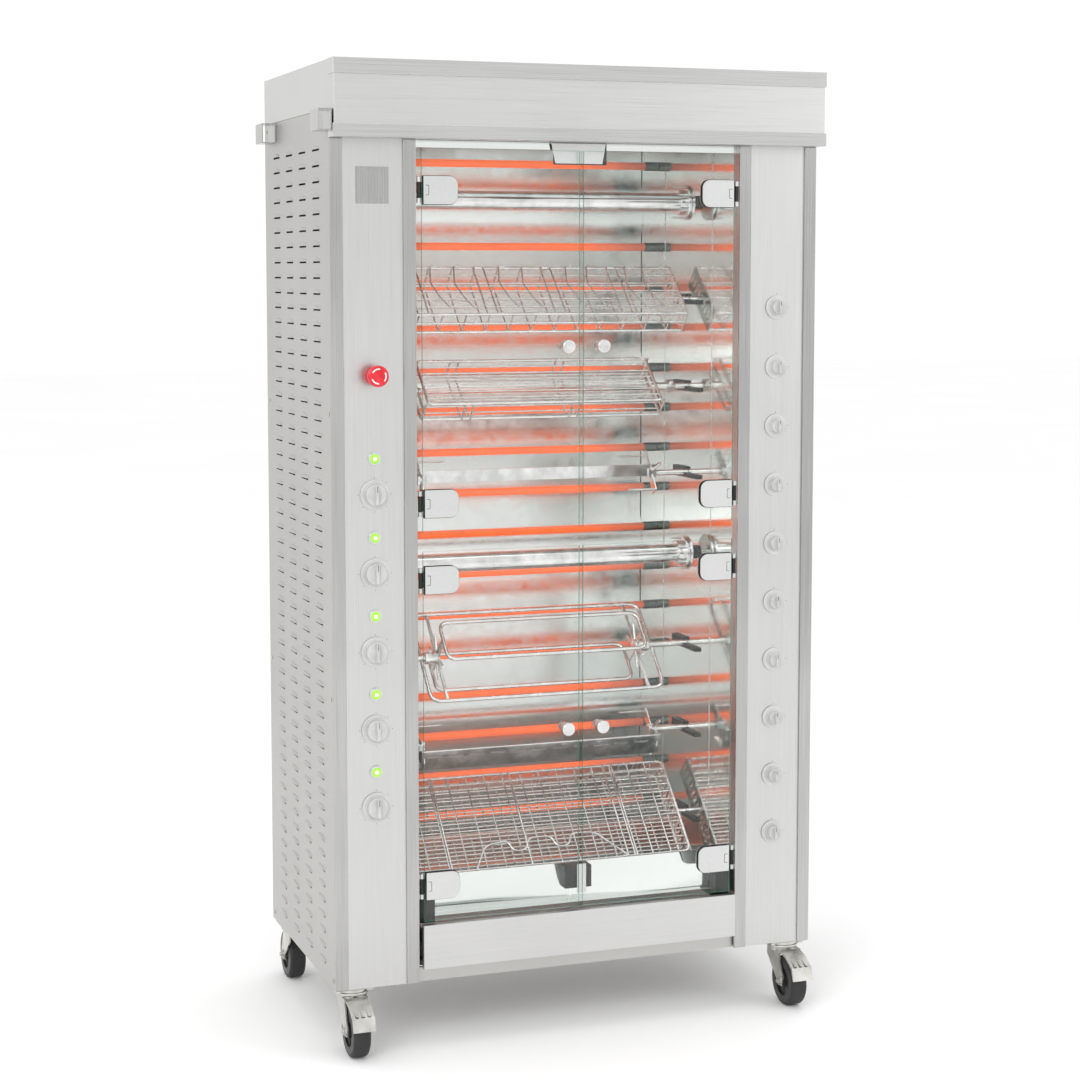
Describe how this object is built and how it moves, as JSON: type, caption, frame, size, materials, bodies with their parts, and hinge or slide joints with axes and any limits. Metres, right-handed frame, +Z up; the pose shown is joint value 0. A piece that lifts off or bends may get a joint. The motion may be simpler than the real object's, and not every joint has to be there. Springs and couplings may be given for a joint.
{
  "type": "rotisserie oven",
  "caption": "Floor-standing stainless electric rotisserie oven on casters, with stacked driven spits behind glass door leaves, side controls and a drip drawer.",
  "frame": {"origin": "on the floor, in the middle of the space the machine takes up in X and Y", "axes": "+X to the cook's right when facing the doors, the doors face -Y, +Z up"},
  "size_m": [1.052, 0.633, 1.886],
  "materials": {
    "side_steel": "brushed",
    "front_steel": "fine brushed",
    "bright_steel": "satin",
    "polished_steel": "polished to a mirror",
    "heating_element": "matt oxide, glowing",
    "black_plastic": "matt",
    "motor_grey": "painted",
    "lamp_green": "glossy, lit",
    "spit_steel": "bright plated",
    "door_glass": "clear toughened",
    "grey_knob": "satin, light grey",
    "red_plastic": "glossy",
    "zinc": "zinc plated",
    "black_rubber": "matt"
  },
  "bodies": {
    "cabinet": {"base_frame": "side_steel", "side_panels": "side_steel", "back_panel": "side_steel", "left_control_panel": "front_steel", "right_control_panel": "front_steel", "hood_shell": "front_steel", "bright_trims": "bright_steel", "side_sleeves": "bright_steel", "chamber_liner": "polished_steel", "back_reflector": "polished_steel", "drip_deflectors": "polished_steel", "heating_tubes": "heating_element", "spit_bearings": "black_plastic", "drive_motors": "motor_grey", "electrical_unit": "motor_grey", "pilot_lamps": "lamp_green", "door_catches": "black_plastic"},
    "upper_left_door": {"upper_left_door_glass": "door_glass", "upper_left_door_fittings": "bright_steel"},
    "upper_right_door": {"upper_right_door_glass": "door_glass", "upper_right_door_fittings": "bright_steel"},
    "lower_left_door": {"lower_left_door_glass": "door_glass", "lower_left_door_fittings": "bright_steel"},
    "lower_right_door": {"lower_right_door_glass": "door_glass", "lower_right_door_fittings": "bright_steel"},
    "spit_1": {"spit_1_carrying_tube": "spit_steel"},
    "spit_2": {"spit_2_hinged_basket": "spit_steel"},
    "spit_3": {"spit_3_long_basket": "spit_steel"},
    "spit_4": {"spit_4_angle_bar": "spit_steel"},
    "spit_5": {"spit_5_carrying_tube": "spit_steel"},
    "spit_6": {"spit_6_cradle": "spit_steel"},
    "spit_7": {"spit_7_trough_bar": "spit_steel"},
    "spit_8": {"spit_8_flat_basket": "spit_steel"},
    "heat_knob_1": {"heat_knob_1": "grey_knob"},
    "heat_knob_2": {"heat_knob_2": "grey_knob"},
    "heat_knob_3": {"heat_knob_3": "grey_knob"},
    "heat_knob_4": {"heat_knob_4": "grey_knob"},
    "heat_knob_5": {"heat_knob_5": "grey_knob"},
    "spit_switch_1": {"spit_switch_1": "grey_knob"},
    "spit_switch_2": {"spit_switch_2": "grey_knob"},
    "spit_switch_3": {"spit_switch_3": "grey_knob"},
    "spit_switch_4": {"spit_switch_4": "grey_knob"},
    "spit_switch_5": {"spit_switch_5": "grey_knob"},
    "spit_switch_6": {"spit_switch_6": "grey_knob"},
    "spit_switch_7": {"spit_switch_7": "grey_knob"},
    "spit_switch_8": {"spit_switch_8": "grey_knob"},
    "spit_switch_9": {"spit_switch_9": "grey_knob"},
    "spit_switch_10": {"spit_switch_10": "grey_knob"},
    "emergency_stop": {"emergency_stop": "red_plastic"},
    "drip_drawer": {"drip_drawer": "front_steel"},
    "front_left_caster_fork": {"front_left_caster_fork": "zinc"},
    "front_left_caster_wheel": {"front_left_caster_wheel": "black_rubber"},
    "front_left_caster_brake": {"front_left_caster_brake": "zinc"},
    "front_right_caster_fork": {"front_right_caster_fork": "zinc"},
    "front_right_caster_wheel": {"front_right_caster_wheel": "black_rubber"},
    "front_right_caster_brake": {"front_right_caster_brake": "zinc"},
    "rear_left_caster_fork": {"rear_left_caster_fork": "zinc"},
    "rear_left_caster_wheel": {"rear_left_caster_wheel": "black_rubber"},
    "rear_right_caster_fork": {"rear_right_caster_fork": "zinc"},
    "rear_right_caster_wheel": {"rear_right_caster_wheel": "black_rubber"}
  },
  "joints": [
    {"name": "upper_left_door_hinge", "type": "hinge", "parent": "cabinet", "child": "upper_left_door", "pos_m": [-0.326, -0.2526, 1.364], "axis": [0, 0, -1], "range_deg": [0, 100]},
    {"name": "upper_right_door_hinge", "type": "hinge", "parent": "cabinet", "child": "upper_right_door", "pos_m": [0.326, -0.2526, 1.364], "axis": [0, 0, 1], "range_deg": [0, 100]},
    {"name": "lower_left_door_hinge", "type": "hinge", "parent": "cabinet", "child": "lower_left_door", "pos_m": [-0.326, -0.2526, 0.6075], "axis": [0, 0, -1], "range_deg": [0, 100]},
    {"name": "lower_right_door_hinge", "type": "hinge", "parent": "cabinet", "child": "lower_right_door", "pos_m": [0.326, -0.2526, 0.6075], "axis": [0, 0, 1], "range_deg": [0, 100]},
    {"name": "spit_1_turn", "type": "hinge", "parent": "cabinet", "child": "spit_1", "pos_m": [0, -0.0466, 1.6369], "axis": [1, 0, 0], "continuous": true},
    {"name": "spit_2_turn", "type": "hinge", "parent": "cabinet", "child": "spit_2", "pos_m": [0, -0.0006, 1.4392], "axis": [1, 0, 0], "continuous": true},
    {"name": "spit_3_turn", "type": "hinge", "parent": "cabinet", "child": "spit_3", "pos_m": [0, -0.0006, 1.2585], "axis": [1, 0, 0], "continuous": true},
    {"name": "spit_4_turn", "type": "hinge", "parent": "cabinet", "child": "spit_4", "pos_m": [0, -0.0006, 1.0778], "axis": [1, 0, 0], "continuous": true},
    {"name": "spit_5_turn", "type": "hinge", "parent": "cabinet", "child": "spit_5", "pos_m": [0, -0.0466, 0.9141], "axis": [1, 0, 0], "continuous": true},
    {"name": "spit_6_turn", "type": "hinge", "parent": "cabinet", "child": "spit_6", "pos_m": [0, -0.0006, 0.7164], "axis": [1, 0, 0], "continuous": true},
    {"name": "spit_7_turn", "type": "hinge", "parent": "cabinet", "child": "spit_7", "pos_m": [0, -0.0006, 0.5357], "axis": [1, 0, 0], "continuous": true},
    {"name": "spit_8_turn", "type": "hinge", "parent": "cabinet", "child": "spit_8", "pos_m": [0, -0.0006, 0.355], "axis": [1, 0, 0], "continuous": true},
    {"name": "heat_knob_1_turn", "type": "hinge", "parent": "cabinet", "child": "heat_knob_1", "pos_m": [-0.415, -0.2526, 1.078], "axis": [0, 1, 0], "range_deg": [0, 270]},
    {"name": "heat_knob_2_turn", "type": "hinge", "parent": "cabinet", "child": "heat_knob_2", "pos_m": [-0.415, -0.2526, 0.9287], "axis": [0, 1, 0], "range_deg": [0, 270]},
    {"name": "heat_knob_3_turn", "type": "hinge", "parent": "cabinet", "child": "heat_knob_3", "pos_m": [-0.415, -0.2526, 0.7794], "axis": [0, 1, 0], "range_deg": [0, 270]},
    {"name": "heat_knob_4_turn", "type": "hinge", "parent": "cabinet", "child": "heat_knob_4", "pos_m": [-0.415, -0.2526, 0.6301], "axis": [0, 1, 0], "range_deg": [0, 270]},
    {"name": "heat_knob_5_turn", "type": "hinge", "parent": "cabinet", "child": "heat_knob_5", "pos_m": [-0.415, -0.2526, 0.4808], "axis": [0, 1, 0], "range_deg": [0, 270]},
    {"name": "spit_switch_1_turn", "type": "hinge", "parent": "cabinet", "child": "spit_switch_1", "pos_m": [0.415, -0.2526, 1.425], "axis": [0, 1, 0], "range_deg": [0, 90]},
    {"name": "spit_switch_2_turn", "type": "hinge", "parent": "cabinet", "child": "spit_switch_2", "pos_m": [0.415, -0.2526, 1.307], "axis": [0, 1, 0], "range_deg": [0, 90]},
    {"name": "spit_switch_3_turn", "type": "hinge", "parent": "cabinet", "child": "spit_switch_3", "pos_m": [0.415, -0.2526, 1.189], "axis": [0, 1, 0], "range_deg": [0, 90]},
    {"name": "spit_switch_4_turn", "type": "hinge", "parent": "cabinet", "child": "spit_switch_4", "pos_m": [0.415, -0.2526, 1.071], "axis": [0, 1, 0], "range_deg": [0, 90]},
    {"name": "spit_switch_5_turn", "type": "hinge", "parent": "cabinet", "child": "spit_switch_5", "pos_m": [0.415, -0.2526, 0.953], "axis": [0, 1, 0], "range_deg": [0, 90]},
    {"name": "spit_switch_6_turn", "type": "hinge", "parent": "cabinet", "child": "spit_switch_6", "pos_m": [0.415, -0.2526, 0.835], "axis": [0, 1, 0], "range_deg": [0, 90]},
    {"name": "spit_switch_7_turn", "type": "hinge", "parent": "cabinet", "child": "spit_switch_7", "pos_m": [0.415, -0.2526, 0.717], "axis": [0, 1, 0], "range_deg": [0, 90]},
    {"name": "spit_switch_8_turn", "type": "hinge", "parent": "cabinet", "child": "spit_switch_8", "pos_m": [0.415, -0.2526, 0.599], "axis": [0, 1, 0], "range_deg": [0, 90]},
    {"name": "spit_switch_9_turn", "type": "hinge", "parent": "cabinet", "child": "spit_switch_9", "pos_m": [0.415, -0.2526, 0.481], "axis": [0, 1, 0], "range_deg": [0, 90]},
    {"name": "spit_switch_10_turn", "type": "hinge", "parent": "cabinet", "child": "spit_switch_10", "pos_m": [0.415, -0.2526, 0.363], "axis": [0, 1, 0], "range_deg": [0, 90]},
    {"name": "emergency_stop_push", "type": "slide", "parent": "cabinet", "child": "emergency_stop", "axis": [0, 1, 0], "range_m": [0, 0.005], "stiffness_N_per_m": 1200, "springref_m": -0.002},
    {"name": "drip_drawer_slide", "type": "slide", "parent": "cabinet", "child": "drip_drawer", "axis": [0, -1, 0], "range_m": [0, 0.35]},
    {"name": "front_left_caster_swivel", "type": "hinge", "parent": "cabinet", "child": "front_left_caster_fork", "pos_m": [-0.458, -0.2166, 0.13], "axis": [0, 0, 1], "continuous": true},
    {"name": "front_left_caster_roll", "type": "hinge", "parent": "front_left_caster_fork", "child": "front_left_caster_wheel", "pos_m": [-0.458, -0.2526, 0.05], "axis": [1, 0, 0], "continuous": true},
    {"name": "front_left_caster_brake_tip", "type": "hinge", "parent": "front_left_caster_fork", "child": "front_left_caster_brake", "pos_m": [-0.458, -0.2526, 0.109], "axis": [1, 0, 0], "range_deg": [0, 10]},
    {"name": "front_right_caster_swivel", "type": "hinge", "parent": "cabinet", "child": "front_right_caster_fork", "pos_m": [0.458, -0.2166, 0.13], "axis": [0, 0, 1], "continuous": true},
    {"name": "front_right_caster_roll", "type": "hinge", "parent": "front_right_caster_fork", "child": "front_right_caster_wheel", "pos_m": [0.458, -0.2526, 0.05], "axis": [1, 0, 0], "continuous": true},
    {"name": "front_right_caster_brake_tip", "type": "hinge", "parent": "front_right_caster_fork", "child": "front_right_caster_brake", "pos_m": [0.458, -0.2526, 0.109], "axis": [1, 0, 0], "range_deg": [0, 10]},
    {"name": "rear_left_caster_swivel", "type": "hinge", "parent": "cabinet", "child": "rear_left_caster_fork", "pos_m": [-0.458, 0.2304, 0.13], "axis": [0, 0, 1], "continuous": true},
    {"name": "rear_left_caster_roll", "type": "hinge", "parent": "rear_left_caster_fork", "child": "rear_left_caster_wheel", "pos_m": [-0.458, 0.2664, 0.05], "axis": [1, 0, 0], "continuous": true},
    {"name": "rear_right_caster_swivel", "type": "hinge", "parent": "cabinet", "child": "rear_right_caster_fork", "pos_m": [0.458, 0.2304, 0.13], "axis": [0, 0, 1], "continuous": true},
    {"name": "rear_right_caster_roll", "type": "hinge", "parent": "rear_right_caster_fork", "child": "rear_right_caster_wheel", "pos_m": [0.458, 0.2664, 0.05], "axis": [1, 0, 0], "continuous": true}
  ]
}
